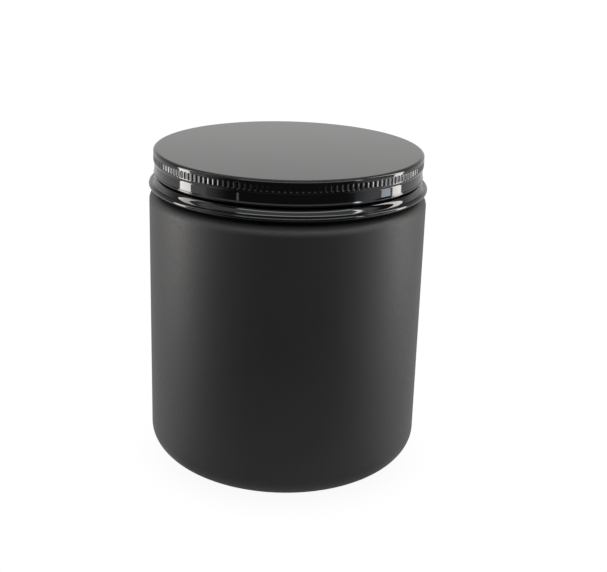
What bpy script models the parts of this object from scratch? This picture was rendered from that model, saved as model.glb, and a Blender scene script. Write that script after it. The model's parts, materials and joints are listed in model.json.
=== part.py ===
"""Round screw-lid candle tin, empty: drawn vessel, threaded collar and a lid that unscrews.

Every sub-part is turned about the Z axis. The origin is the middle of the standing ring.
"""
import math

import bmesh
import bpy
from mathutils import Vector

MM = 0.001

# Driving dimensions
BODY_RADIUS = 44.0 * MM
TOTAL_HEIGHT = 104.3 * MM
FIT_GAP = 0.3 * MM          # clearance between pieces that touch or are pressed together
FACETS = 52                 # flats round a turned surface
KNURLS = 156                # ribs round the lid's grip band
THREAD_STARTS = 3
THREAD_LEAD = 7.5 * MM      # rise of the lid in one full turn

# Vessel: one deep-drawn shell
VESSEL_WALL = 0.8 * MM
CORNER_RADIAL = 17.0 * MM   # the lower corner is a quarter ellipse
CORNER_HEIGHT = 11.3 * MM
STANDING_RING_WIDTH = 2.2 * MM
BASE_PANEL_RISE = 1.2 * MM
BASE_PANEL_SLOPE = 1.3 * MM
SHOULDER_RADIUS = 3.0 * MM
SHOULDER_TOP = TOTAL_HEIGHT - 13.5 * MM
NECK_RADIUS = 39.1 * MM
NECK_FILLET = 0.6 * MM
NECK_TOP = TOTAL_HEIGHT - 4.05 * MM

# Threaded collar: pressed sheet that wraps the vessel's rim
COLLAR_SHEET = 0.5 * MM
COLLAR_ROOT_RADIUS = 39.9 * MM
COLLAR_TOP = TOTAL_HEIGHT - 2.25 * MM
COLLAR_RIM_ROUND = 0.45 * MM
COLLAR_HEM_RADIUS = 37.5 * MM
COLLAR_HEM_BOTTOM = TOTAL_HEIGHT - 6.0 * MM
SHELF_START = TOTAL_HEIGHT - 8.25 * MM       # the threaded wall turns out into a shelf
SHELF_RADIUS = 41.85 * MM
SHELF_EDGE = TOTAL_HEIGHT - 8.75 * MM
BAND_TOP_RADIUS = 42.25 * MM                # a plain band runs from the shelf down to the bead
BAND_TOP = TOTAL_HEIGHT - 9.2 * MM
BAND_FOOT_RADIUS = 42.75 * MM
BAND_FOOT = TOTAL_HEIGHT - 10.5 * MM
BEAD_RADIUS = 44.1 * MM
BEAD_MIDDLE = TOTAL_HEIGHT - 11.2 * MM
BEAD_HALF_HEIGHT = 0.68 * MM
BEAD_HALF_WIDTH = 0.78 * MM
COLLAR_FOOT = TOTAL_HEIGHT - 11.95 * MM      # clear of the vessel's shoulder

# Thread ridges, rolled out of the collar and moulded inside the lid's insert
RIDGE_DEPTH = 0.9 * MM
RIDGE_BASE = 1.3 * MM
RIDGE_CREST = 0.5 * MM
RIDGE_ROOTED = 0.25 * MM    # how far a ridge is sunk into its wall
RIDGE_FADE = math.radians(9.0)
COLLAR_RIDGE_BOTTOM = TOTAL_HEIGHT - 5.7 * MM
COLLAR_RIDGE_RISE = 2.2 * MM
LID_RIDGE_BOTTOM = TOTAL_HEIGHT - 5.5 * MM
LID_RIDGE_RISE = 1.5 * MM

# Neck seal: compound ring between the vessel's rim and the collar
SEAL_THICKNESS = 0.7 * MM

# Lid shell
LID_SHEET = 0.45 * MM
LID_EDGE_RADIAL = 1.1 * MM   # the edge of the lid's top is a quarter ellipse
LID_EDGE_HEIGHT = 0.75 * MM
SKIRT_RADIUS = 42.4 * MM
SKIRT_WALL = 0.4 * MM
KNURL_CREST_RADIUS = 42.8 * MM
KNURL_VALLEY_RADIUS = 42.45 * MM
KNURL_TOP_DROP = 0.9 * MM  # distances down from the lid's top face
KNURL_BOTTOM_DROP = 3.6 * MM
KNURL_RUNOUT = 0.3 * MM
CURL_RADIUS = 0.5 * MM
CURL_OUTER_RADIUS = 42.53 * MM
CURL_DROP = 7.45 * MM

# Lid insert and liner
INSERT_OUTER_RADIUS = 41.7 * MM
INSERT_ROOT_RADIUS = 41.1 * MM
INSERT_BOTTOM = TOTAL_HEIGHT - 6.15 * MM
INSERT_CHAMFER = 0.4 * MM   # clears the round inside the shell's corner
LINER_RADIUS = 40.7 * MM
LINER_THICKNESS = 1.2 * MM


def clear_scene():
    for item in list(bpy.data.objects):
        bpy.data.objects.remove(item, do_unlink=True)


def make_material(name, colour, roughness, metallic):
    """A Principled material with one linear RGB colour."""
    material = bpy.data.materials.new(name)
    material.use_nodes = True
    shader = material.node_tree.nodes["Principled BSDF"]
    shader.inputs["Base Color"].default_value = (*colour, 1.0)
    shader.inputs["Roughness"].default_value = roughness
    shader.inputs["Metallic"].default_value = metallic
    material.diffuse_color = (*colour, 1.0)
    return material


def arc(centre_r, centre_z, half_width, half_height, start_deg, end_deg, steps):
    """Points of an ellipse arc in the (radius, height) plane, both ends included."""
    points = []
    for step in range(steps + 1):
        angle = math.radians(start_deg + (end_deg - start_deg) * step / steps)
        radius = centre_r + half_width * math.cos(angle)
        height = centre_z + half_height * math.sin(angle)
        points.append((radius, height))
    return points


def finish_object(name, mesh_data, material, parent=None):
    """Turn a bmesh into a smooth-shaded object whose faces point outwards."""
    bmesh.ops.remove_doubles(mesh_data, verts=mesh_data.verts, dist=0.001 * MM)
    bmesh.ops.recalc_face_normals(mesh_data, faces=mesh_data.faces)
    mesh = bpy.data.meshes.new(name)
    mesh_data.to_mesh(mesh)
    mesh_data.free()
    mesh.shade_smooth()
    mesh.set_sharp_from_angle(angle=math.radians(35.0))
    if material is not None:
        mesh.materials.append(material)
    item = bpy.data.objects.new(name, mesh)
    bpy.context.scene.collection.objects.link(item)
    item.parent = parent
    return item


def turned(name, outline, material, parent=None):
    """Spin an outline of (radius, height) points about Z.

    An outline that starts and ends on the axis is left open there; any other is a closed ring.
    """
    mesh_data = bmesh.new()
    vertices = [mesh_data.verts.new((radius, 0.0, height)) for radius, height in outline]
    edges = [mesh_data.edges.new(pair) for pair in zip(vertices, vertices[1:])]
    if outline[0][0] > 0.0:
        edges.append(mesh_data.edges.new((vertices[-1], vertices[0])))
    bmesh.ops.spin(
        mesh_data,
        geom=vertices + edges,
        cent=(0.0, 0.0, 0.0),
        axis=(0.0, 0.0, 1.0),
        angle=math.tau,
        steps=FACETS,
        use_merge=True,
    )
    return finish_object(name, mesh_data, material, parent)


def ring_of_vertices(mesh_data, radii, height):
    """A level ring with one vertex for each radius given, evenly spaced."""
    count = len(radii)
    ring = []
    for index, radius in enumerate(radii):
        angle = math.tau * index / count
        ring.append(mesh_data.verts.new((radius * math.cos(angle), radius * math.sin(angle), height)))
    return ring


def stitch(mesh_data, first, second):
    """Join two rings with faces; one may have a whole multiple of the other's vertices."""
    if len(first) == len(second):
        count = len(first)
        for index in range(count):
            after = (index + 1) % count
            mesh_data.faces.new((first[index], first[after], second[after], second[index]))
        return
    coarse, fine = sorted((first, second), key=len)
    share = len(fine) // len(coarse)
    for index, corner in enumerate(coarse):
        after = coarse[(index + 1) % len(coarse)]
        span = [fine[(index * share + step) % len(fine)] for step in range(share + 1)]
        middle = share // 2
        for left, right in zip(span[:middle], span[1:middle + 1]):
            mesh_data.faces.new((corner, left, right))
        mesh_data.faces.new((corner, span[middle], after))
        for left, right in zip(span[middle:], span[middle + 1:]):
            mesh_data.faces.new((after, left, right))


def close_with_point(mesh_data, ring, height):
    """Close a ring with a fan of triangles to a point on the axis."""
    tip = mesh_data.verts.new((0.0, 0.0, height))
    for index, vertex in enumerate(ring):
        mesh_data.faces.new((tip, vertex, ring[(index + 1) % len(ring)]))


def build_vessel(material):
    wall = VESSEL_WALL
    ring_outer = BODY_RADIUS - CORNER_RADIAL
    ring_inner = ring_outer - STANDING_RING_WIDTH
    panel_radius = ring_inner - BASE_PANEL_SLOPE
    shoulder_r = BODY_RADIUS - SHOULDER_RADIUS
    shoulder_z = SHOULDER_TOP - SHOULDER_RADIUS
    fillet_r = NECK_RADIUS + NECK_FILLET
    fillet_z = SHOULDER_TOP + NECK_FILLET

    outside = [(0.0, BASE_PANEL_RISE), (panel_radius, BASE_PANEL_RISE), (ring_inner, 0.0)]
    outside += arc(ring_outer, CORNER_HEIGHT, CORNER_RADIAL, CORNER_HEIGHT, -90, 0, 6)
    outside += arc(shoulder_r, shoulder_z, SHOULDER_RADIUS, SHOULDER_RADIUS, 0, 90, 4)
    outside += arc(fillet_r, fillet_z, NECK_FILLET, NECK_FILLET, 270, 180, 2)
    outside += [(NECK_RADIUS, NECK_TOP)]

    inside = [(NECK_RADIUS - wall, NECK_TOP)]
    inside += arc(fillet_r, fillet_z, NECK_FILLET + wall, NECK_FILLET + wall, 180, 270, 2)
    inside += arc(shoulder_r, shoulder_z, SHOULDER_RADIUS - wall, SHOULDER_RADIUS - wall, 90, 0, 3)
    inside += arc(ring_outer, CORNER_HEIGHT, CORNER_RADIAL - wall, CORNER_HEIGHT - wall, 0, -90, 5)
    inside += [(ring_inner, wall), (panel_radius, BASE_PANEL_RISE + wall)]
    inside += [(0.0, BASE_PANEL_RISE + wall)]
    return turned("vessel", outside + inside, material)


def build_neck_seal(material):
    bottom = NECK_TOP + FIT_GAP
    top = bottom + SEAL_THICKNESS
    inner = NECK_RADIUS - VESSEL_WALL
    outline = [(inner, bottom), (NECK_RADIUS, bottom), (NECK_RADIUS, top), (inner, top)]
    return turned("neck_seal", outline, material)


def collar_outline():
    """Section of the collar: hem in the mouth, rim, threaded wall, shelf, plain band and bead."""
    sheet = COLLAR_SHEET
    hem = COLLAR_HEM_RADIUS
    rim = COLLAR_RIM_ROUND
    wall_inner = COLLAR_ROOT_RADIUS - sheet
    bead_r = BEAD_RADIUS - BEAD_HALF_WIDTH

    outer = [(hem, COLLAR_HEM_BOTTOM)]
    outer += arc(hem + rim, COLLAR_TOP - rim, rim, rim, 180, 90, 2)
    outer += arc(COLLAR_ROOT_RADIUS - rim, COLLAR_TOP - rim, rim, rim, 90, 0, 2)
    outer += [(COLLAR_ROOT_RADIUS, SHELF_START), (SHELF_RADIUS, SHELF_EDGE)]
    outer += [(BAND_TOP_RADIUS, BAND_TOP), (BAND_FOOT_RADIUS, BAND_FOOT)]
    outer += arc(bead_r, BEAD_MIDDLE, BEAD_HALF_WIDTH, BEAD_HALF_HEIGHT, 120, -90, 7)

    inner = [(BAND_FOOT_RADIUS - sheet / 2, COLLAR_FOOT)]
    inner += [(BAND_FOOT_RADIUS - sheet / 2, BAND_FOOT), (BAND_TOP_RADIUS - sheet, SHELF_EDGE - sheet)]
    inner += [(wall_inner, SHELF_START - sheet)]
    inner += [(wall_inner, COLLAR_TOP - sheet), (hem + sheet, COLLAR_TOP - sheet)]
    inner += [(hem + sheet, COLLAR_HEM_BOTTOM)]
    return outer + inner


def thread_ridges(name, root_radius, outward, bottom, rise, first_angle):
    """A helper with one closed helical ridge for each start, sunk a little into its wall.

    outward is 1 for ridges that stand out from a wall and -1 for ridges that stand in from it.
    """
    mesh_data = bmesh.new()
    sweep = math.tau * rise / THREAD_LEAD
    steps = max(4, round(sweep / (math.tau / FACETS)))
    for start in range(THREAD_STARTS):
        sections = []
        for step in range(steps + 1):
            turn = sweep * step / steps
            fade = min(1.0, turn / RIDGE_FADE, (sweep - turn) / RIDGE_FADE)
            crest_radius = root_radius + outward * (RIDGE_DEPTH * fade - RIDGE_ROOTED * (1.0 - fade) * 0.5)
            base_radius = root_radius - outward * RIDGE_ROOTED
            height = bottom + rise * step / steps
            angle = first_angle + math.tau * start / THREAD_STARTS + turn
            corners = (
                (base_radius, height - RIDGE_BASE / 2),
                (crest_radius, height - RIDGE_CREST / 2),
                (crest_radius, height + RIDGE_CREST / 2),
                (base_radius, height + RIDGE_BASE / 2),
            )
            section = []
            for radius, level in corners:
                place = Vector((radius * math.cos(angle), radius * math.sin(angle), level))
                section.append(mesh_data.verts.new(place))
            sections.append(section)
        for before, after in zip(sections, sections[1:]):
            for corner in range(4):
                other = (corner + 1) % 4
                mesh_data.faces.new((before[corner], before[other], after[other], after[corner]))
        mesh_data.faces.new(sections[0])
        mesh_data.faces.new(sections[-1])
    helper = finish_object(name, mesh_data, None)
    helper.hide_render = True
    helper.display_type = "WIRE"
    return helper


def join_ridges(item, ridges):
    union = item.modifiers.new("thread", "BOOLEAN")
    union.operation = "UNION"
    union.solver = "EXACT"
    union.object = ridges


def build_collar(material):
    collar = turned("threaded_collar", collar_outline(), material)
    ridges = thread_ridges(
        "collar_ridges", COLLAR_ROOT_RADIUS, 1, COLLAR_RIDGE_BOTTOM, COLLAR_RIDGE_RISE, 0.0
    )
    join_ridges(collar, ridges)
    return collar


def build_insert(material, parent):
    top = TOTAL_HEIGHT - LID_SHEET - FIT_GAP
    outline = [
        (INSERT_ROOT_RADIUS, INSERT_BOTTOM),
        (INSERT_OUTER_RADIUS, INSERT_BOTTOM),
        (INSERT_OUTER_RADIUS, top - INSERT_CHAMFER),
        (INSERT_OUTER_RADIUS - INSERT_CHAMFER, top),
        (INSERT_ROOT_RADIUS, top),
    ]
    insert = turned("lid_thread_insert", outline, material, parent)
    # The lid's ridges run midway between the collar's, half a thread pitch lower.
    half_pitch = THREAD_LEAD / THREAD_STARTS / 2
    lead_angle = math.tau * (LID_RIDGE_BOTTOM + half_pitch - COLLAR_RIDGE_BOTTOM) / THREAD_LEAD
    ridges = thread_ridges(
        "insert_ridges", INSERT_ROOT_RADIUS, -1, LID_RIDGE_BOTTOM, LID_RIDGE_RISE, lead_angle
    )
    ridges.parent = parent
    join_ridges(insert, ridges)
    return insert


def build_liner(material, parent):
    top = TOTAL_HEIGHT - LID_SHEET - FIT_GAP
    outline = [(0.0, top - LINER_THICKNESS), (LINER_RADIUS, top - LINER_THICKNESS)]
    outline += [(LINER_RADIUS, top), (0.0, top)]
    return turned("lid_liner", outline, material, parent)


def build_lid_shell(material, parent):
    """The lid's outer shell, built ring by ring so that its grip band can carry knurls."""
    top = TOTAL_HEIGHT
    knurl_top = top - KNURL_TOP_DROP
    knurl_bottom = top - KNURL_BOTTOM_DROP
    curl_z = top - CURL_DROP
    curl_r = CURL_OUTER_RADIUS - CURL_RADIUS
    inner_wall = SKIRT_RADIUS - SKIRT_WALL
    inner_top = top - LID_SHEET
    edge_r = KNURL_VALLEY_RADIUS - LID_EDGE_RADIAL
    edge_z = top - LID_EDGE_HEIGHT

    edge = arc(edge_r, edge_z, LID_EDGE_RADIAL, LID_EDGE_HEIGHT, 90, 15, 3)
    skirt = [(SKIRT_RADIUS, knurl_bottom - KNURL_RUNOUT), (SKIRT_RADIUS, curl_z + 2 * CURL_RADIUS)]
    skirt += arc(curl_r, curl_z, CURL_RADIUS, CURL_RADIUS, 15, -240, 7)
    skirt += [(inner_wall, curl_z + 2 * CURL_RADIUS), (inner_wall, inner_top - LID_EDGE_HEIGHT)]
    skirt += [(inner_wall - LID_EDGE_HEIGHT / 3, inner_top - LID_EDGE_HEIGHT / 3)]
    skirt += [(inner_wall - LID_EDGE_HEIGHT, inner_top)]

    mesh_data = bmesh.new()
    knurl_radii = [KNURL_CREST_RADIUS, KNURL_VALLEY_RADIUS] * KNURLS
    rings = [ring_of_vertices(mesh_data, [radius] * FACETS, height) for radius, height in edge]
    for height in (knurl_top - KNURL_RUNOUT, knurl_bottom):
        rings.append(ring_of_vertices(mesh_data, knurl_radii, height))
    rings += [ring_of_vertices(mesh_data, [radius] * FACETS, height) for radius, height in skirt]
    close_with_point(mesh_data, rings[0], top)
    for first, second in zip(rings, rings[1:]):
        stitch(mesh_data, first, second)
    close_with_point(mesh_data, rings[-1], inner_top)
    return finish_object("lid_shell", mesh_data, material, parent)


def main():
    clear_scene()
    lid_axis = bpy.data.objects.new("lid_axis", None)
    lid_axis.empty_display_size = BODY_RADIUS / 2
    bpy.context.scene.collection.objects.link(lid_axis)

    matte_black = make_material("matte_black_coat", (0.025, 0.025, 0.025), 0.5, 0.0)
    gloss_black = make_material("gloss_black_lacquer", (0.006, 0.006, 0.007), 0.08, 0.0)
    moulded_black = make_material("moulded_black_plastic", (0.012, 0.012, 0.012), 0.35, 0.0)
    foam_white = make_material("white_foam", (0.75, 0.74, 0.72), 0.8, 0.0)
    grey_compound = make_material("grey_sealing_compound", (0.25, 0.25, 0.24), 0.6, 0.0)

    build_vessel(matte_black)
    build_neck_seal(grey_compound)
    build_collar(gloss_black)
    build_lid_shell(gloss_black, lid_axis)
    build_insert(moulded_black, lid_axis)
    build_liner(foam_white, lid_axis)


main()
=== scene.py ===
"""Looks of the screw-lid candle tin: fine turned meshes, finishes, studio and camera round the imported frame.

Outlines are (radius, height) points in metres, turned about the tin's axis.
"""
import json
import math

import bmesh
import bpy
from mathutils import Matrix, Vector


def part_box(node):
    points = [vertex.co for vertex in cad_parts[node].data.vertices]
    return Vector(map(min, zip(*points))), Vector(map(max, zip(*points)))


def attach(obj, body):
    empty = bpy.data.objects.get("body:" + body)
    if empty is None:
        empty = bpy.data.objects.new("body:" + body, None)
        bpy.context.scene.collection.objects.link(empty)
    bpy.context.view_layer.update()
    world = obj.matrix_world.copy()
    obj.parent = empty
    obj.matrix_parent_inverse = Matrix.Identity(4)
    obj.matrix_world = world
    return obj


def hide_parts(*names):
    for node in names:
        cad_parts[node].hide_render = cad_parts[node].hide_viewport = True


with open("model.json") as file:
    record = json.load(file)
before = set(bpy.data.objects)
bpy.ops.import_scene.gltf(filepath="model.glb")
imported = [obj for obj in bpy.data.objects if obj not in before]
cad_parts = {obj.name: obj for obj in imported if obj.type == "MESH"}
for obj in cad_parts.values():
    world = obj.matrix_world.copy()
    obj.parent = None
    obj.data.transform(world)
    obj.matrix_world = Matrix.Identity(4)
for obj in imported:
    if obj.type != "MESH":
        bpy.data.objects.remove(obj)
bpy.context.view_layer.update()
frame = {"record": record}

MM = 0.001
COLUMNS = 312               # columns of faces round a turned surface
ARC_STEP = 9.0              # degrees between the points of a bend
CURL_STEP = 12.0            # and between those of a rolled edge
HOLD = 0.12 * MM            # a straight run keeps a ring this near each end, so that it shades flat

# Driving dimensions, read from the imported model
VESSEL_LOW, VESSEL_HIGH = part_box("vessel")
LID_LOW, LID_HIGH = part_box("lid_shell")
COLLAR_LOW, COLLAR_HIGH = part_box("threaded_collar")
INSERT_LOW, INSERT_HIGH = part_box("lid_thread_insert")
LINER_LOW, LINER_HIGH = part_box("lid_liner")
SEAL_LOW, SEAL_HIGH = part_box("neck_seal")
TOP = LID_HIGH.z
BODY_RADIUS = VESSEL_HIGH.x
BEAD_RADIUS = COLLAR_HIGH.x
ON_AXIS = 1e-7              # a point this close to the axis is on it
SAME_RADIUS = 1e-6

# The body that each node moves with
BODY_OF = {node: body for body, nodes in frame["record"]["behaviour"]["bodies"].items() for node in nodes}

# Vessel
VESSEL_WALL = 0.8 * MM
CORNER_RADIAL = 17.0 * MM
CORNER_HEIGHT = 11.3 * MM
STANDING_RING_WIDTH = 2.2 * MM
BASE_PANEL_RISE = 1.2 * MM
BASE_PANEL_SLOPE = 1.3 * MM
SHOULDER_RADIUS = 3.0 * MM
SHOULDER_TOP = TOP - 13.5 * MM
NECK_RADIUS = 39.1 * MM
NECK_FILLET = 0.6 * MM

# Collar
SHEET = 0.25 * MM           # sheet of the collar and of the lid
COLLAR_ROOT = 39.9 * MM
COLLAR_WALL = 0.5 * MM      # two layers: the collar's own sheet and its lacquered backing
HEM_RADIUS = 37.5 * MM
RIM_ROUND = 0.45 * MM
SHELF_START = TOP - 8.25 * MM               # the threaded wall turns out into a shelf
BAND_RADIUS = 41.83 * MM                    # the band's upper edge
BAND_TOP = TOP - 8.72 * MM
BAND_BEND = 2.2 * MM                        # it bulges, then hollows, both on this radius
BAND_STEP = 4.0             # degrees between its points
BAND_TILTS = (50.0, 16.0, 34.0)             # degrees that it faces up: at its edge, its middle and its foot
BEAD_MIDDLE = TOP - 11.2 * MM
BEAD_HALF_HEIGHT = 0.68 * MM
BEAD_HALF_WIDTH = 0.78 * MM
BEAD_ARC = (118.0, -215.0)  # degrees, from where the band meets the bead round to its tucked edge
HEM_BOTTOM = TOP - 6.0 * MM
COLLAR_THREAD_ROWS = (TOP - 3.3 * MM, TOP - 7.2 * MM)
COLLAR_THREAD_END = TOP - 7.3 * MM
BAND_INNER_RADIUS = 42.4 * MM
BAND_INNER_ROWS = (TOP - 11.0 * MM, TOP - 10.4 * MM)
SHELF_DROP_INSIDE = 0.35 * MM               # from the shelf's outer face to its inner one

# Thread
THREAD_STARTS = 3
THREAD_LEAD = 7.5 * MM
RIDGE_DEPTH = 0.9 * MM
RIDGE_BASE = 1.3 * MM
RIDGE_CREST = 0.5 * MM
RIDGE_FADE = math.radians(9.0)
COLLAR_RIDGE_BOTTOM = TOP - 5.7 * MM
COLLAR_RIDGE_RISE = 2.2 * MM
LID_RIDGE_BOTTOM = TOP - 5.5 * MM
LID_RIDGE_RISE = 1.5 * MM
THREAD_ROW = 0.16 * MM      # height between the rows of faces that carry a ridge

# Lid shell
LID_TOP_SHEET = 0.45 * MM
EDGE_RADIAL = 1.1 * MM      # the edge of the top is a quarter ellipse
EDGE_HEIGHT = 0.75 * MM
KNURLS = 156
KNURL_CREST = 42.62 * MM
KNURL_DEPTH = 0.15 * MM
KNURL_TOP = TOP - 1.2 * MM
KNURL_BOTTOM = TOP - 3.6 * MM
KNURL_END = 0.5 * MM        # length of a flute's rounded end
KNURL_END_STEPS = 8         # rows of faces in it
KNURL_COLUMNS = 12          # columns of faces in one knurl; KNURLS * KNURL_COLUMNS is a multiple of COLUMNS
FLUTE_SHARE = 0.86          # of the pitch; the rest is the land between two flutes
SKIRT_RADIUS = 42.36 * MM
CURL_RADIUS = 0.5 * MM
CURL_MIDDLE = LID_LOW.z + CURL_RADIUS
CURL_CENTRE = 42.05 * MM
CURL_TOUCH = 0.5            # radians above level, where the skirt meets the curl
CURL_ARC = (20.0, -290.0)

# Insert
INSERT_ROOT = 41.1 * MM

# Camera
SENSOR_MM = 36.0
LENS_MM = 70.60
CAMERA_DISTANCE = 0.36884
CAMERA_HEIGHT = 0.18689
CAMERA_TILT = 0.3356        # radians down from level
CAMERA_PAN = -0.0158
CAMERA_ROLL = 0.0303

# Studio
PURE_WHITE = 1.0            # radiance of the open floor as the camera sees it; the sky is 0.8 of it
# painted contact shadow: how dark the floor's glow, as the camera sees it, is painted under the tin's edge
CONTACT_SHADE = (0.93, 1.02)                # of PURE_WHITE: under the tin's edge, and out of its shade
CONTACT_REACH = 0.02
FLOOR_LIGHT = 0.75          # radiance of the floor as the tin sees it
FLOOR_HALF = 12.0
FLOOR_GAP = 0.05 * MM
DARK_SIDE = (-0.3, -0.7)    # cosine of the azimuth from the back, where the floor starts and ends darkening
DARK_RADII = (0.080, 0.112)
DARK_LIGHT = (0.5, 0.07)    # what is left of the floor's light inside and outside those radii
PANEL_DISTANCE = 0.26       # the lights' distance from the tin's axis
PANEL_TOP = 0.42
WARM = (1.0, 0.965, 0.93)
COOL = (0.82, 0.90, 1.0)
WHITE = (1.0, 1.0, 1.0)


# ---------------------------------------------------------------- outlines

def arc(centre_r, centre_z, half_width, half_height, start_deg, end_deg, steps):
    """Points of an ellipse arc, both ends included."""
    points = []
    for step in range(steps + 1):
        angle = math.radians(start_deg + (end_deg - start_deg) * step / steps)
        points.append((centre_r + half_width * math.cos(angle), centre_z + half_height * math.sin(angle)))
    return points


def bend_points(before, corner, after, radius):
    """The corner's arc of that radius, tangent to the runs before and after it."""
    here = Vector(corner)
    back = (Vector(before) - here).normalized()
    onward = (Vector(after) - here).normalized()
    half_angle = back.angle(onward) / 2
    centre = here + (back + onward).normalized() * (radius / math.sin(half_angle))
    start = here + back * (radius / math.tan(half_angle)) - centre
    end = here + onward * (radius / math.tan(half_angle)) - centre
    turn = start.angle_signed(end)
    steps = max(2, math.ceil(abs(math.degrees(turn)) / ARC_STEP))
    points = []
    for step in range(steps + 1):
        arm = start.copy()
        arm.rotate(Matrix.Rotation(-turn * step / steps, 2))
        points.append(tuple(centre + arm))
    return points


def bent(*corners):
    """An outline through (radius, height[, bend]) corners; the first and the last are plain ends."""
    points = [corners[0][:2]]
    for before, corner, after in zip(corners, corners[1:], corners[2:]):
        if len(corner) == 3:
            points += bend_points(before[:2], corner[:2], after[:2], corner[2])
        else:
            points.append(corner)
    points.append(corners[-1][:2])
    return points


def held(points):
    """The outline with a point added near both ends of each long straight run."""
    result = [points[0]]
    for start, end in zip(points, points[1:]):
        run = Vector(end) - Vector(start)
        if run.length > 4 * HOLD:
            step = run.normalized() * HOLD
            result.append(tuple(Vector(start) + step))
            result.append(tuple(Vector(end) - step))
        result.append(end)
    return result


def rows_between(low, high, spacing):
    """Heights from low to high, both included, no further apart than spacing."""
    count = max(1, math.ceil(abs(high - low) / spacing))
    return [low + (high - low) * step / count for step in range(count + 1)]


def curled_edge(centre_r, centre_z, half_width, half_height, start_deg, end_deg):
    """A sheet rolled into a bead: its outer face from start to end, then its inner face back."""
    steps = math.ceil(abs(end_deg - start_deg) / CURL_STEP)
    outer = arc(centre_r, centre_z, half_width, half_height, start_deg, end_deg, steps)
    inner = arc(centre_r, centre_z, half_width - SHEET, half_height - SHEET, end_deg, start_deg, steps)
    return outer + inner


# ---------------------------------------------------------------- meshes

class Lathe:
    """Collects rings of vertices about Z and the faces between them."""

    def __init__(self):
        self.vertices = []
        self.faces = []
        self.last_ring = None
        self.first_ring = None

    def add_ring(self, height, radii):
        """A level ring, one vertex for each radius; faces join it to the ring before."""
        start = len(self.vertices)
        count = len(radii)
        for index, radius in enumerate(radii):
            angle = math.tau * index / count
            self.vertices.append((radius * math.cos(angle), radius * math.sin(angle), height))
        ring = list(range(start, start + count))
        self._join_to_last(ring)

    def add_point(self, radius, height):
        """An outline's point: a plain ring, or a single vertex where it lies on the axis."""
        if radius > ON_AXIS:
            self.add_ring(height, [radius] * COLUMNS)
        else:
            self.vertices.append((0.0, 0.0, height))
            self._join_to_last([len(self.vertices) - 1])

    def close(self):
        """Join the last ring to the first, for a section that doesn't reach the axis."""
        self._join(self.last_ring, self.first_ring)

    def _join_to_last(self, ring):
        if self.last_ring is None:
            self.first_ring = ring
        else:
            self._join(self.last_ring, ring)
        self.last_ring = ring

    def _join(self, first, second):
        coarse, fine = sorted((first, second), key=len)
        if len(coarse) == len(fine):
            count = len(fine)
            for index in range(count):
                after = (index + 1) % count
                self.faces.append((first[index], first[after], second[after], second[index]))
            return
        share = len(fine) // len(coarse)
        for index, corner in enumerate(coarse):
            after = coarse[(index + 1) % len(coarse)]
            span = [fine[(index * share + step) % len(fine)] for step in range(share + 1)]
            middle = share // 2 if len(coarse) > 1 else share
            self.faces += [(corner, left, right) for left, right in zip(span[:middle], span[1:middle + 1])]
            if len(coarse) > 1:
                self.faces.append((corner, span[middle], after))
                self.faces += [(after, left, right) for left, right in zip(span[middle:], span[middle + 1:])]

    def to_object(self, name, material):
        mesh = bpy.data.meshes.new(name)
        mesh.from_pydata(self.vertices, [], self.faces)
        mesh_data = bmesh.new()
        mesh_data.from_mesh(mesh)
        bmesh.ops.recalc_face_normals(mesh_data, faces=mesh_data.faces)
        mesh_data.to_mesh(mesh)
        mesh_data.free()
        mesh.shade_smooth()
        mesh.materials.append(material)
        item = bpy.data.objects.new(name, mesh)
        bpy.context.scene.collection.objects.link(item)
        return item


def turned(name, outline, material, shape=None):
    """Turn an outline about Z. shape(angle, radius, height) may move a point in or out."""
    lathe = Lathe()
    angles = [math.tau * index / COLUMNS for index in range(COLUMNS)]
    for radius, height in outline:
        if shape is None:
            lathe.add_point(radius, height)
        else:
            lathe.add_ring(height, [shape(angle, radius, height) for angle in angles])
    if outline[0][0] > ON_AXIS:
        lathe.close()
    return lathe.to_object(name, material)


def smoothstep(value):
    value = min(1.0, max(0.0, value))
    return value * value * (3.0 - 2.0 * value)


def thread_ridge(angle, height, bottom, rise, first_angle):
    """How far the thread stands out at this place: 0 off the ridges, RIDGE_DEPTH on their crests."""
    sweep = math.tau * rise / THREAD_LEAD
    best = 0.0
    for start in range(THREAD_STARTS):
        turn = (angle - first_angle - math.tau * start / THREAD_STARTS) % math.tau
        if turn > sweep:
            continue
        off_middle = abs(height - bottom - rise * turn / sweep)
        across = smoothstep((RIDGE_BASE / 2 - off_middle) / ((RIDGE_BASE - RIDGE_CREST) / 2))
        along = smoothstep(min(turn, sweep - turn) / RIDGE_FADE)
        best = max(best, RIDGE_DEPTH * across * along)
    return best


def stand_for(item, node):
    """Tie a finished piece to the CAD node it replaces."""
    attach(item, BODY_OF[node])
    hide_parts(node)
    return item


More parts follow.
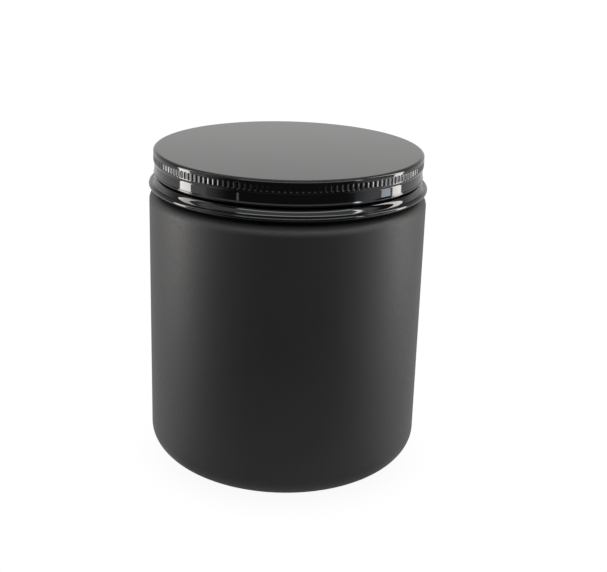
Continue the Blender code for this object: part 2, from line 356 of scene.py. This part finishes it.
def build_vessel(material):
    wall = VESSEL_WALL
    ring_outer = BODY_RADIUS - CORNER_RADIAL
    ring_inner = ring_outer - STANDING_RING_WIDTH
    panel_radius = ring_inner - BASE_PANEL_SLOPE
    shoulder_r = BODY_RADIUS - SHOULDER_RADIUS
    shoulder_z = SHOULDER_TOP - SHOULDER_RADIUS
    fillet_r = NECK_RADIUS + NECK_FILLET
    fillet_z = SHOULDER_TOP + NECK_FILLET
    lip = wall / 2

    outside = bent(
        (0.0, BASE_PANEL_RISE),
        (panel_radius, BASE_PANEL_RISE, 1.5 * MM),
        (ring_inner, 0.0, 0.5 * MM),
        (ring_outer, 0.0),
    )
    outside += arc(ring_outer, CORNER_HEIGHT, CORNER_RADIAL, CORNER_HEIGHT, -90, 0, 40)[1:]
    outside += arc(shoulder_r, shoulder_z, SHOULDER_RADIUS, SHOULDER_RADIUS, 0, 90, 14)
    outside += arc(fillet_r, fillet_z, NECK_FILLET, NECK_FILLET, 270, 180, 6)
    outside += arc(NECK_RADIUS - lip, VESSEL_HIGH.z - lip, lip, lip, 0, 180, 8)

    inside = arc(fillet_r, fillet_z, NECK_FILLET + wall, NECK_FILLET + wall, 180, 270, 8)
    inside += arc(shoulder_r, shoulder_z, SHOULDER_RADIUS - wall, SHOULDER_RADIUS - wall, 90, 0, 12)
    inside += arc(ring_outer, CORNER_HEIGHT, CORNER_RADIAL - wall, CORNER_HEIGHT - wall, 0, -90, 32)
    inside += bent(
        (ring_inner, wall),
        (panel_radius, BASE_PANEL_RISE + wall, 1.0 * MM),
        (0.0, BASE_PANEL_RISE + wall),
    )
    return turned("vessel_drawn_shell", held(outside + inside), material)


def build_seal(material):
    """Flowed compound: a soft oval ring whose edges wander a little."""
    middle_r = (NECK_RADIUS + NECK_RADIUS - VESSEL_WALL) / 2
    middle_z = (SEAL_LOW.z + SEAL_HIGH.z) / 2
    half_width = VESSEL_WALL / 2
    half_height = (SEAL_HIGH.z - SEAL_LOW.z) / 2
    outline = arc(middle_r, middle_z, half_width, half_height, 0, 360, 24)[:-1]

    def wander(angle, radius, _height):
        wave = 0.6 * math.sin(7 * angle) + 0.4 * math.sin(17 * angle + 1.0)
        return middle_r + (radius - middle_r) * (0.93 + 0.07 * wave)

    return turned("neck_seal_ring", outline, material, wander)


def band_outline():
    """The band between the shelf and the bead, from its edge down to its foot."""
    points = [(BAND_RADIUS, BAND_TOP)]
    tilt = math.radians(BAND_TILTS[0])
    for target in BAND_TILTS[1:]:
        target = math.radians(target)
        steps = math.ceil(math.degrees(abs(target - tilt)) / BAND_STEP)
        turn = (target - tilt) / steps
        for _step in range(steps):
            tilt += turn
            run = BAND_BEND * abs(turn)
            heading = tilt - turn / 2
            radius, height = points[-1]
            points.append((radius + run * math.sin(heading), height - run * math.cos(heading)))
    return points


def build_collar(material):
    """Pressed sheet from the hem in the mouth, over the rim, down the thread to the rolled bead."""
    rim = RIM_ROUND
    top = COLLAR_HIGH.z
    root_inner = COLLAR_ROOT - COLLAR_WALL
    bead_r = BEAD_RADIUS - BEAD_HALF_WIDTH

    outer = [(HEM_RADIUS, HEM_BOTTOM)]
    outer += arc(HEM_RADIUS + rim, top - rim, rim, rim, 180, 90, 8)
    outer += arc(COLLAR_ROOT - rim, top - rim, rim, rim, 90, 0, 8)
    outer = held(outer)
    outer += [(COLLAR_ROOT, height) for height in rows_between(*COLLAR_THREAD_ROWS, THREAD_ROW)]
    band = band_outline()
    outer += held(bent(
        (COLLAR_ROOT, COLLAR_THREAD_END),
        (COLLAR_ROOT, SHELF_START, 0.4 * MM),
        (BAND_RADIUS - 0.08 * MM, BAND_TOP + 0.04 * MM, 0.12 * MM),
        band[0],
    ))
    outer += band
    bead = curled_edge(bead_r, BEAD_MIDDLE, BEAD_HALF_WIDTH, BEAD_HALF_HEIGHT, *BEAD_ARC)
    inner = held(bent(
        (bead_r - 0.5 * MM, BEAD_MIDDLE + BEAD_HALF_HEIGHT * 0.45),
        (BAND_INNER_RADIUS, BAND_INNER_ROWS[0], 0.1 * MM),
        (BAND_INNER_RADIUS, BAND_INNER_ROWS[1], 0.3 * MM),
        (BAND_RADIUS - SHEET, BAND_TOP - SHELF_DROP_INSIDE, 0.3 * MM),
        (root_inner, SHELF_START - SHELF_DROP_INSIDE, 0.2 * MM),
        (root_inner, top - COLLAR_WALL, 0.15 * MM),
        (HEM_RADIUS + COLLAR_WALL, top - COLLAR_WALL, 0.15 * MM),
        (HEM_RADIUS + COLLAR_WALL, HEM_BOTTOM),
    ))

    def threaded(angle, radius, height):
        if abs(radius - COLLAR_ROOT) > SAME_RADIUS:
            return radius
        return radius + thread_ridge(angle, height, COLLAR_RIDGE_BOTTOM, COLLAR_RIDGE_RISE, 0.0)

    return turned("collar_pressed_ring", outer + bead + inner, material, threaded)


def build_insert(material):
    """Moulded ring with the female thread."""
    low, high = INSERT_LOW.z, INSERT_HIGH.z
    outer_r = INSERT_HIGH.x
    half_pitch = THREAD_LEAD / THREAD_STARTS / 2
    lead_angle = math.tau * (LID_RIDGE_BOTTOM + half_pitch - COLLAR_RIDGE_BOTTOM) / THREAD_LEAD

    rows = rows_between(high - 1.8 * MM, low + 0.25 * MM, THREAD_ROW)
    outline = [(INSERT_ROOT, height) for height in rows]
    outline += held(bent(
        (INSERT_ROOT, low + 0.2 * MM),
        (INSERT_ROOT + 0.02 * MM, low, 0.1 * MM),
        (outer_r, low, 0.1 * MM),
        (outer_r, high - 0.4 * MM, 0.15 * MM),
        (outer_r - 0.4 * MM, high, 0.15 * MM),
        (INSERT_ROOT, high, 0.05 * MM),
        (INSERT_ROOT, high - 1.6 * MM),
    ))

    def threaded(angle, radius, height):
        if abs(radius - INSERT_ROOT) > SAME_RADIUS:
            return radius
        return radius - thread_ridge(angle, height, LID_RIDGE_BOTTOM, LID_RIDGE_RISE, lead_angle)

    return turned("lid_insert_moulded_ring", outline, material, threaded)


def build_liner(material):
    """Foam disc with soft edges and the shallow track that the collar's rim has pressed in it."""
    low, high = LINER_LOW.z, LINER_HIGH.z
    radius = LINER_HIGH.x
    edge = 0.3 * MM
    dent = 0.12 * MM
    outline = held(bent(
        (0.0, low),
        (HEM_RADIUS - 0.3 * MM, low, 0.4 * MM),
        (HEM_RADIUS + 0.5 * MM, low + dent, 0.5 * MM),
        (COLLAR_ROOT - 0.5 * MM, low + dent, 0.5 * MM),
        (COLLAR_ROOT + 0.2 * MM, low, 0.2 * MM),
        (radius, low, edge),
        (radius, high, edge),
        (0.0, high),
    ))
    return turned("lid_liner_foam_disc", outline, material)


def knurl_radii(height):
    """One radius for each column of the grip band; the flutes are shallow hollows with round ends."""
    past_end = max(0.0, height - (KNURL_TOP - KNURL_END), (KNURL_BOTTOM + KNURL_END) - height) / KNURL_END
    radii = []
    for column in range(KNURL_COLUMNS):
        off_middle = abs(column / KNURL_COLUMNS - 0.5) / (FLUTE_SHARE / 2)
        reach = min(1.0, math.hypot(off_middle, past_end))
        radii.append(KNURL_CREST - KNURL_DEPTH * math.cos(reach * math.pi / 2) ** 2)
    return radii * KNURLS


def build_lid_shell(material):
    """Pressed lid: flat top, rolled edge, fluted grip band, plain skirt and curled lower edge."""
    edge_r = KNURL_CREST - EDGE_RADIAL
    inner_wall = SKIRT_RADIUS - SHEET
    sheet_low = TOP - LID_TOP_SHEET

    edge = held([(0.0, TOP), (edge_r, TOP)])
    edge += arc(edge_r, TOP - EDGE_HEIGHT, EDGE_RADIAL, EDGE_HEIGHT, 90, 0, 16)[1:]
    edge += [(KNURL_CREST, KNURL_TOP + 0.1 * MM)]

    steps = KNURL_END_STEPS
    band_heights = [KNURL_TOP - KNURL_END * step / steps for step in range(steps + 1)]
    band_heights += [KNURL_BOTTOM + KNURL_END * step / steps for step in range(steps, -1, -1)]

    skirt = bent(
        (KNURL_CREST, KNURL_BOTTOM - 0.03 * MM),
        (KNURL_CREST, KNURL_BOTTOM - 0.1 * MM, 0.3 * MM),
        (SKIRT_RADIUS, KNURL_BOTTOM - 0.65 * MM, 1.2 * MM),
        (SKIRT_RADIUS, CURL_MIDDLE + 0.5 * MM, 0.15 * MM),
        (CURL_CENTRE + CURL_RADIUS * math.cos(CURL_TOUCH), CURL_MIDDLE + CURL_RADIUS * math.sin(CURL_TOUCH)),
    )
    curl = curled_edge(CURL_CENTRE, CURL_MIDDLE, CURL_RADIUS, CURL_RADIUS, *CURL_ARC)
    inside = held(bent(
        (inner_wall, CURL_MIDDLE + 0.6 * MM),
        (inner_wall, sheet_low, 0.6 * MM),
        (0.0, sheet_low),
    ))

    lathe = Lathe()
    for radius, height in edge:
        lathe.add_point(radius, height)
    for height in band_heights:
        lathe.add_ring(height, knurl_radii(height))
    for radius, height in held(skirt) + curl + inside:
        lathe.add_point(radius, height)
    return lathe.to_object("lid_pressed_shell", material)


# ---------------------------------------------------------------- finishes

class Nodes:
    """Short calls that add nodes to a tree and link them."""

    def __init__(self, tree):
        self.tree = tree

    def node(self, kind, **settings):
        made = self.tree.nodes.new(kind)
        for name, value in settings.items():
            setattr(made, name, value)
        return made

    def link(self, source, target):
        self.tree.links.new(source, target)

    def math(self, operation, first, second=0.0):
        """A Math node; each value is a number or another node's output."""
        made = self.node("ShaderNodeMath", operation=operation)
        for socket, value in zip(made.inputs, (first, second)):
            if isinstance(value, (int, float)):
                socket.default_value = value
            else:
                self.link(value, socket)
        return made.outputs["Value"]

    def product(self, *factors):
        result = factors[0]
        for factor in factors[1:]:
            result = self.math("MULTIPLY", result, factor)
        return result

    def spread(self, value, from_low, from_high, to_low=0.0, to_high=1.0, ease="LINEAR"):
        """Map a range of values onto another, clamped to it."""
        made = self.node("ShaderNodeMapRange", interpolation_type=ease)
        limits = {"From Min": from_low, "From Max": from_high, "To Min": to_low, "To Max": to_high}
        for name, limit in limits.items():
            made.inputs[name].default_value = limit
        self.link(value, made.inputs["Value"])
        return made.outputs["Result"]


class Finish(Nodes):
    """A Principled material whose texture lives in the piece's own space."""

    def __init__(self, name, roughness, ior=1.5):
        self.material = bpy.data.materials.new(name)
        self.material.use_nodes = True
        super().__init__(self.material.node_tree)
        self.shader = self.tree.nodes["Principled BSDF"]
        self.shader.inputs["Roughness"].default_value = roughness
        self.shader.inputs["IOR"].default_value = ior
        self.position = self.node("ShaderNodeTexCoord").outputs["Object"]

    def noise(self, scale, detail=3.0, roughness=0.5, stretch=None):
        """Noise between 0 and 1; scale is in features a metre, stretch scales the axes apart."""
        made = self.node("ShaderNodeTexNoise")
        made.inputs["Scale"].default_value = scale
        made.inputs["Detail"].default_value = detail
        made.inputs["Roughness"].default_value = roughness
        if stretch is None:
            self.link(self.position, made.inputs["Vector"])
        else:
            mapping = self.node("ShaderNodeMapping")
            mapping.inputs["Scale"].default_value = stretch
            self.link(self.position, mapping.inputs["Vector"])
            self.link(mapping.outputs["Vector"], made.inputs["Vector"])
        return made.outputs["Fac"]

    def mix_colour(self, factor, first, second):
        made = self.node("ShaderNodeMix", data_type="RGBA")
        self.link(factor, made.inputs["Factor"])
        for socket, value in ((made.inputs[6], first), (made.inputs[7], second)):
            if isinstance(value, tuple):
                socket.default_value = (*value, 1.0)
            else:
                self.link(value, socket)
        return made.outputs[2]

    def specks(self, spacing, size, share):
        """A mask of rare round specks of dust; spacing and size in metres, share of cells with one."""
        made = self.node("ShaderNodeTexVoronoi")
        made.inputs["Scale"].default_value = 1.0 / spacing
        self.link(self.position, made.inputs["Vector"])
        near = self.spread(made.outputs["Distance"], size / spacing, 0.5 * size / spacing, 0.0, 1.0)
        channels = self.node("ShaderNodeSeparateColor")
        self.link(made.outputs["Color"], channels.inputs["Color"])
        chosen = self.math("LESS_THAN", channels.outputs["Red"], share)
        return self.math("MULTIPLY", near, chosen)

    def bump(self, height, depth, strength=1.0, under=None):
        """Adds relief; depth in metres. Returns the normal, to be stacked or used."""
        made = self.node("ShaderNodeBump")
        made.inputs["Strength"].default_value = strength
        made.inputs["Distance"].default_value = depth
        self.link(height, made.inputs["Height"])
        if under is not None:
            self.link(under, made.inputs["Normal"])
        return made.outputs["Normal"]

    def use(self, socket, value):
        self.link(value, self.shader.inputs[socket])


def matte_coat():
    """Fine-textured matte black coat: dense grain, faint clouding and a few specks of dust."""
    finish = Finish("matte_black_coat", roughness=0.5, ior=1.43)
    cloud = finish.noise(45.0, detail=3.0)
    grain = finish.noise(2600.0, detail=2.0, roughness=0.7)
    coarse = finish.noise(900.0, detail=2.0)
    dust = finish.specks(9.0 * MM, 0.16 * MM, 0.5)
    clouding = finish.spread(cloud, 0.3, 0.7, 0.9, 1.1)
    graining = finish.spread(grain, 0.3, 0.7, 0.8, 1.2)
    lightness = finish.spread(finish.product(clouding, graining), 0.7, 1.3)
    tone = finish.mix_colour(lightness, (0.015, 0.0148, 0.0151), (0.022, 0.0218, 0.0222))
    finish.use("Base Color", finish.mix_colour(dust, tone, (0.35, 0.34, 0.32)))
    finish.use("Roughness", finish.spread(coarse, 0.3, 0.7, 0.47, 0.54))
    normal = finish.bump(grain, 0.012 * MM, 0.8)
    finish.use("Normal", finish.bump(coarse, 0.015 * MM, 0.6, normal))
    return finish.material


def gloss_lacquer(name, top_height=None):
    """Black baking lacquer on tinplate: mirror-like with faint orange peel. A lid's top face is satin."""
    finish = Finish(name, roughness=0.04, ior=1.5)
    peel = finish.noise(420.0, detail=1.0)
    mist = finish.noise(60.0, detail=4.0)
    pores = finish.noise(5200.0, detail=1.0)
    dust = finish.specks(8.0 * MM, 0.14 * MM, 0.35)
    misting = finish.spread(mist, 0.3, 0.7)
    tone = finish.mix_colour(misting, (0.0020, 0.0020, 0.0024), (0.0035, 0.0035, 0.0040))
    finish.use("Base Color", finish.mix_colour(dust, tone, (0.30, 0.29, 0.27)))
    gloss = finish.spread(mist, 0.3, 0.7, 0.035, 0.06)
    normal = finish.bump(peel, 0.004 * MM, 0.5)
    if top_height is not None:
        axes = finish.node("ShaderNodeSeparateXYZ")
        finish.link(finish.position, axes.inputs["Vector"])
        on_top = finish.spread(axes.outputs["Z"], top_height - 0.25 * MM, top_height - 0.02 * MM)
        satin = finish.spread(pores, 0.3, 0.7, 0.12, 0.16)
        mixed = finish.node("ShaderNodeMix", data_type="FLOAT")
        finish.link(on_top, mixed.inputs["Factor"])
        finish.link(gloss, mixed.inputs[2])
        finish.link(satin, mixed.inputs[3])
        gloss = mixed.outputs[0]
        normal = finish.bump(pores, 0.0008 * MM, 0.4, normal)
    finish.use("Roughness", gloss)
    finish.use("Normal", normal)
    return finish.material


def moulded_plastic():
    """Black polypropylene as it comes from the mould: soft sheen and fine turned marks."""
    finish = Finish("moulded_black_plastic", roughness=0.35, ior=1.49)
    flow = finish.noise(120.0, detail=3.0)
    turning = finish.noise(90.0, detail=2.0, stretch=(1.0, 1.0, 60.0))
    pits = finish.noise(3000.0, detail=2.0)
    finish.use("Base Color", finish.mix_colour(flow, (0.009, 0.009, 0.0095), (0.017, 0.017, 0.0175)))
    finish.use("Roughness", finish.spread(flow, 0.3, 0.7, 0.3, 0.42))
    normal = finish.bump(turning, 0.01 * MM, 0.6)
    finish.use("Normal", finish.bump(pits, 0.006 * MM, 0.5, normal))
    return finish.material


def foam_sheet():
    """White foamed polyethylene: closed cells under a thin skin."""
    finish = Finish("white_foam_sheet", roughness=0.7, ior=1.45)
    cells = finish.node("ShaderNodeTexVoronoi")
    cells.inputs["Scale"].default_value = 2200.0
    finish.link(finish.position, cells.inputs["Vector"])
    cell_edge = finish.spread(cells.outputs["Distance"], 0.1, 0.7, 1.0, 0.0)
    stain = finish.noise(70.0, detail=4.0)
    staining = finish.spread(stain, 0.35, 0.7)
    tone = finish.mix_colour(staining, (0.78, 0.77, 0.75), (0.70, 0.69, 0.66))
    finish.use("Base Color", tone)
    finish.use("Roughness", finish.spread(stain, 0.3, 0.7, 0.62, 0.78))
    finish.use("Normal", finish.bump(cell_edge, 0.03 * MM, 0.7))
    return finish.material


def sealing_compound():
    """Grey flowed rubber compound."""
    finish = Finish("grey_sealing_compound", roughness=0.6, ior=1.45)
    lumps = finish.noise(700.0, detail=3.0)
    tint = finish.noise(150.0, detail=2.0)
    finish.use("Base Color", finish.mix_colour(tint, (0.22, 0.22, 0.21), (0.29, 0.29, 0.275)))
    finish.use("Roughness", finish.spread(lumps, 0.3, 0.7, 0.5, 0.68))
    finish.use("Normal", finish.bump(lumps, 0.04 * MM, 0.6))
    return finish.material


# ---------------------------------------------------------------- studio

def add_camera():
    data = bpy.data.cameras.new("camera")
    data.sensor_width = SENSOR_MM
    data.lens = LENS_MM
    data.clip_start = 0.01
    camera = bpy.data.objects.new("camera", data)
    bpy.context.scene.collection.objects.link(camera)
    turn = Matrix.Rotation(CAMERA_PAN, 4, "Z")
    turn = turn @ Matrix.Rotation(math.pi / 2 - CAMERA_TILT, 4, "X")
    turn = turn @ Matrix.Rotation(CAMERA_ROLL, 4, "Z")
    camera.matrix_world = Matrix.Translation((0.0, -CAMERA_DISTANCE, CAMERA_HEIGHT)) @ turn
    bpy.context.scene.camera = camera
    bpy.context.scene.view_settings.view_transform = "Standard"


def add_floor():
    """A wide white floor that glows. The camera sees it plain white with a painted contact shadow under the
    tin's edge. What the tin sees of it is darkened on the main camera's side.
    """
    half = FLOOR_HALF
    corners = [(-half, -half, 0.0), (half, -half, 0.0), (half, half, 0.0), (-half, half, 0.0)]
    mesh = bpy.data.meshes.new("floor")
    mesh.from_pydata(corners, [], [(0, 1, 2, 3)])
    floor = bpy.data.objects.new("floor", mesh)
    floor.location.z = -FLOOR_GAP
    bpy.context.scene.collection.objects.link(floor)
    material = bpy.data.materials.new("white_floor")
    material.use_nodes = True
    material.cycles.emission_sampling = "NONE"
    nodes = Nodes(material.node_tree)
    nodes.tree.nodes.clear()

    axes = nodes.node("ShaderNodeSeparateXYZ")
    nodes.link(nodes.node("ShaderNodeTexCoord").outputs["Object"], axes.inputs["Vector"])
    sideways, away, _up = axes.outputs
    squares = nodes.math("ADD", nodes.product(sideways, sideways), nodes.product(away, away))
    radius = nodes.math("SQRT", squares)
    backward = nodes.math("DIVIDE", away, nodes.math("ADD", radius, 1e-4))
    in_front = nodes.spread(backward, *DARK_SIDE, 0.0, 1.0, "SMOOTHSTEP")
    light_left = nodes.spread(radius, *DARK_RADII, *DARK_LIGHT, "SMOOTHSTEP")
    darkened = nodes.product(in_front, nodes.math("SUBTRACT", 1.0, light_left))
    seen_by_tin = nodes.product(nodes.math("SUBTRACT", 1.0, darkened), FLOOR_LIGHT)

    # painted contact shadow: ambient occlusion darkens the floor's glow that the camera sees near the tin
    contact_shadow_ao = nodes.node("ShaderNodeAmbientOcclusion", samples=8)
    contact_shadow_ao.inputs["Distance"].default_value = CONTACT_REACH
    shade = [share * PURE_WHITE for share in CONTACT_SHADE]
    seen_by_camera = nodes.spread(contact_shadow_ao.outputs["AO"], 0.0, 1.0, *shade)

    camera_ray = nodes.node("ShaderNodeLightPath").outputs["Is Camera Ray"]
    pick = nodes.node("ShaderNodeMix", data_type="FLOAT")
    nodes.link(camera_ray, pick.inputs["Factor"])
    nodes.link(seen_by_tin, pick.inputs[2])
    nodes.link(seen_by_camera, pick.inputs[3])
    glow = nodes.node("ShaderNodeEmission")
    nodes.link(pick.outputs[0], glow.inputs["Strength"])
    output = nodes.node("ShaderNodeOutputMaterial")
    nodes.link(glow.outputs["Emission"], output.inputs["Surface"])
    mesh.materials.append(material)


def add_panel(name, azimuth_deg, width, bottom, top, power, colour):
    """An upright soft light facing the tin's axis. Azimuth 0 is the camera's side, positive to its right."""
    data = bpy.data.lights.new(name, "AREA")
    data.shape = "RECTANGLE"
    data.size = width
    data.size_y = top - bottom
    data.energy = power * width * (top - bottom)
    data.color = colour
    panel = bpy.data.objects.new(name, data)
    bpy.context.scene.collection.objects.link(panel)
    azimuth = math.radians(azimuth_deg)
    sideways = PANEL_DISTANCE * math.sin(azimuth)
    away = -PANEL_DISTANCE * math.cos(azimuth)
    place = Vector((sideways, away, (bottom + top) / 2))
    inward = Vector((-place.x, -place.y, 0.0))
    panel.matrix_world = Matrix.Translation(place) @ inward.to_track_quat("-Z", "Y").to_matrix().to_4x4()
    panel.visible_camera = False


class Sky(Nodes):
    """The studio's surroundings as light from far away, by direction."""

    def __init__(self):
        world = bpy.data.worlds.new("studio")
        world.use_nodes = True
        bpy.context.scene.world = world
        super().__init__(world.node_tree)
        self.tree.nodes.clear()
        axes = self.node("ShaderNodeSeparateXYZ")
        self.link(self.node("ShaderNodeTexCoord").outputs["Generated"], axes.inputs["Vector"])
        sideways, away, up = axes.outputs
        self.azimuth = self.math("ARCTAN2", sideways, self.product(away, -1.0))
        self.elevation = self.math("ARCSINE", up)

    def ease(self, value, low_deg, high_deg):
        """0 before low, 1 after high; the other way round when low is the greater."""
        return self.spread(value, math.radians(low_deg), math.radians(high_deg), ease="SMOOTHSTEP")

    def patch(self, azimuths, elevations, soft=4.0):
        """A soft-edged window of directions in degrees; azimuth 0 is the camera's side."""
        return self.product(
            self.ease(self.azimuth, azimuths[0] - soft, azimuths[0] + soft),
            self.ease(self.azimuth, azimuths[1] + soft, azimuths[1] - soft),
            self.ease(self.elevation, elevations[0] - soft, elevations[0] + soft),
            self.ease(self.elevation, elevations[1] + soft, elevations[1] - soft),
        )

    def coloured(self, mask, colour, strength):
        made = self.node("ShaderNodeVectorMath", operation="SCALE")
        made.inputs[0].default_value = [channel * strength for channel in colour]
        self.link(mask, made.inputs["Scale"])
        return made.outputs["Vector"]

    def finish(self, layers):
        """Sum the layers for the tin; the camera itself sees one plain pale tone behind everything."""
        total = layers[0]
        for layer in layers[1:]:
            summed = self.node("ShaderNodeVectorMath", operation="ADD")
            self.link(total, summed.inputs[0])
            self.link(layer, summed.inputs[1])
            total = summed.outputs["Vector"]
        lit = self.node("ShaderNodeBackground")
        self.link(total, lit.inputs["Color"])
        plain = self.node("ShaderNodeBackground")
        plain.inputs["Strength"].default_value = PURE_WHITE
        pick = self.node("ShaderNodeMixShader")
        self.link(self.node("ShaderNodeLightPath").outputs["Is Camera Ray"], pick.inputs["Fac"])
        self.link(lit.outputs["Background"], pick.inputs[1])
        self.link(plain.outputs["Background"], pick.inputs[2])
        output = self.node("ShaderNodeOutputWorld")
        self.link(pick.outputs["Shader"], output.inputs["Surface"])


def add_sky():
    """White paper behind, a dim ceiling, and over the camera a long key light above a cool glow."""
    sky = Sky()
    above_floor = sky.ease(sky.elevation, -1.0, 1.0)
    round_back = sky.ease(sky.math("ABSOLUTE", sky.azimuth), 95.0, 130.0)
    low = sky.spread(sky.elevation, math.radians(24.0), math.radians(6.0), 0.38, 1.12, "SMOOTHSTEP")
    horizon = sky.spread(sky.elevation, math.radians(6.0), math.radians(13.0), 0.72, 1.0, "SMOOTHSTEP")
    paper = sky.product(above_floor, round_back, low, horizon)
    glow = sky.patch((-80.0, 80.0), (12.0, 37.0), 3.0)
    key = sky.patch((-50.0, 68.0), (38.5, 49.0), 1.5)
    ceiling = sky.ease(sky.elevation, 50.0, 56.0)
    spot = sky.patch((60.0, 65.0), (15.0, 33.0), 2.0)
    sky.finish([
        sky.coloured(above_floor, WHITE, 0.04),
        sky.coloured(paper, (1.0, 0.995, 0.985), 0.97),
        sky.coloured(ceiling, WHITE, 0.4),
        sky.coloured(glow, (0.90, 0.94, 1.0), 0.85),
        sky.coloured(key, (0.97, 0.98, 1.0), 5.2),
        sky.coloured(spot, WHITE, 14.0),
    ])


def add_lights():
    """Strips and fills beside the tin, and a small spot in front. The left strip fades upwards."""
    strip_levels = (0.0, 0.13, 0.24, PANEL_TOP)
    strip_parts = zip(("low", "middle", "high"), strip_levels, strip_levels[1:], (34.0, 20.0, 8.0))
    for part, bottom, top, power in strip_parts:
        add_panel("left_strip_" + part, -88.8, 0.059, bottom, top, power, WARM)
    add_panel("left_fill", -74.0, 0.070, 0.0, PANEL_TOP, 1.2, COOL)
    add_panel("right_strip", 96.5, 0.052, 0.0, PANEL_TOP, 28.0, WARM)
    add_panel("right_bright_fill", 83.2, 0.046, 0.0, 0.0415, 15.0, COOL)
    add_panel("right_fill", 65.0, 0.110, 0.0, PANEL_TOP, 0.7, COOL)
    add_panel("spot", -38.6, 0.007, 0.032, 0.045, 5.0, WHITE)


# ---------------------------------------------------------------- assembly

def build_tin():
    lid_lacquer = gloss_lacquer("lid_black_lacquer", TOP)
    collar_lacquer = gloss_lacquer("collar_black_lacquer")
    stand_for(build_vessel(matte_coat()), "vessel")
    stand_for(build_seal(sealing_compound()), "neck_seal")
    stand_for(build_collar(collar_lacquer), "threaded_collar")
    stand_for(build_lid_shell(lid_lacquer), "lid_shell")
    stand_for(build_insert(moulded_plastic()), "lid_thread_insert")
    stand_for(build_liner(foam_sheet()), "lid_liner")


build_tin()
add_floor()
add_sky()
add_lights()
add_camera()
